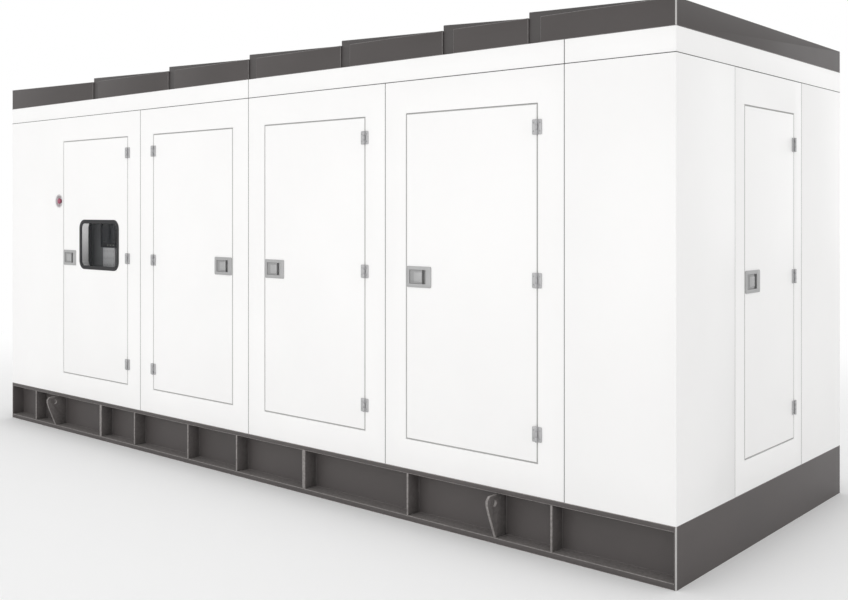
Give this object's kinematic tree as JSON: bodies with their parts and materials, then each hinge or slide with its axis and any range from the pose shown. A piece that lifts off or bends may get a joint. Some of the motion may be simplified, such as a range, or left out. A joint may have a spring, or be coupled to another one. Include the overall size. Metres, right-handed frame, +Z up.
{
  "type": "canopied generator set",
  "caption": "Acoustic canopy of a diesel generator set on a steel skid, with hinged service doors, a control window, an emergency stop and a stepped roof.",
  "frame": {"origin": "centre of the box at ground level, under the middle of the skid", "axes": "+X towards the end with the service door, -Y towards the front with the control window, +Z up"},
  "size_m": [6.13, 2.319, 2.757],
  "materials": {
    "canopy_paint": "semi-gloss white powder coat",
    "roof_paint": "satin charcoal powder coat",
    "skid_paint": "satin charcoal paint over welded plate",
    "deck_paint": "worn dark floor paint",
    "plated_hardware": "grey plated, satin",
    "rubber_seal": "matt rubber",
    "window_pane": "clear toughened glass",
    "stop_red": "gloss red",
    "cabinet_paint": "textured dark grey powder coat",
    "trunking_plastic": "matt light grey",
    "instrument_plastic": "matt dark grey"
  },
  "bodies": {
    "canopy_and_skid": {"skid_top_flanges": "skid_paint", "skid_webs": "skid_paint", "skid_bottom_flanges": "skid_paint", "skid_end_plates": "skid_paint", "skid_cross_beams": "skid_paint", "skid_stiffeners": "skid_paint", "lifting_lugs": "skid_paint", "deck_plate": "deck_paint", "front_piers": "canopy_paint", "rear_piers": "canopy_paint", "end_piers": "canopy_paint", "door_lintels": "canopy_paint", "door_sills": "canopy_paint", "door_stops": "rubber_seal", "side_bands": "canopy_paint", "end_bands": "canopy_paint", "roof_cap_1": "roof_paint", "roof_cap_2": "roof_paint", "roof_cap_3": "roof_paint", "roof_cap_4": "roof_paint", "roof_cap_5": "roof_paint", "roof_cap_6": "roof_paint", "roof_cap_7": "roof_paint", "hinge_frame_leaves": "plated_hardware", "fixed_doors": "canopy_paint", "fixed_door_hinges": "plated_hardware", "fixed_door_latches": "plated_hardware", "stop_collars": "plated_hardware", "stop_buttons": "stop_red", "control_cabinet": "cabinet_paint", "control_trunking": "trunking_plastic", "control_instruments": "instrument_plastic"},
    "door_1": {"door_1_leaf": "canopy_paint", "door_1_hinges": "plated_hardware", "door_1_latch": "plated_hardware", "window_gasket": "rubber_seal", "window_glass": "window_pane"},
    "door_2": {"door_2_leaf": "canopy_paint", "door_2_hinges": "plated_hardware", "door_2_latch": "plated_hardware"},
    "door_3": {"door_3_leaf": "canopy_paint", "door_3_hinges": "plated_hardware", "door_3_latch": "plated_hardware"},
    "door_4": {"door_4_leaf": "canopy_paint", "door_4_hinges": "plated_hardware", "door_4_latch": "plated_hardware"},
    "end_door": {"end_door_leaf": "canopy_paint", "end_door_hinges": "plated_hardware", "end_door_latch": "plated_hardware"}
  },
  "joints": [
    {"name": "door_1_hinge", "type": "hinge", "parent": "canopy_and_skid", "child": "door_1", "pos_m": [-1.3475, -1.0955, 1.376], "axis": [0, 0, 1], "range_deg": [0, 95]},
    {"name": "door_2_hinge", "type": "hinge", "parent": "canopy_and_skid", "child": "door_2", "pos_m": [-1.0245, -1.0955, 1.376], "axis": [0, 0, -1], "range_deg": [0, 95]},
    {"name": "door_3_hinge", "type": "hinge", "parent": "canopy_and_skid", "child": "door_3", "pos_m": [1.0725, -1.0955, 1.376], "axis": [0, 0, 1], "range_deg": [0, 95]},
    {"name": "door_4_hinge", "type": "hinge", "parent": "canopy_and_skid", "child": "door_4", "pos_m": [2.2825, -1.0955, 1.376], "axis": [0, 0, 1], "range_deg": [0, 95]},
    {"name": "end_door_hinge", "type": "hinge", "parent": "canopy_and_skid", "child": "end_door", "pos_m": [3.058, 0.3325, 1.376], "axis": [0, 0, 1], "range_deg": [0, 95]}
  ]
}
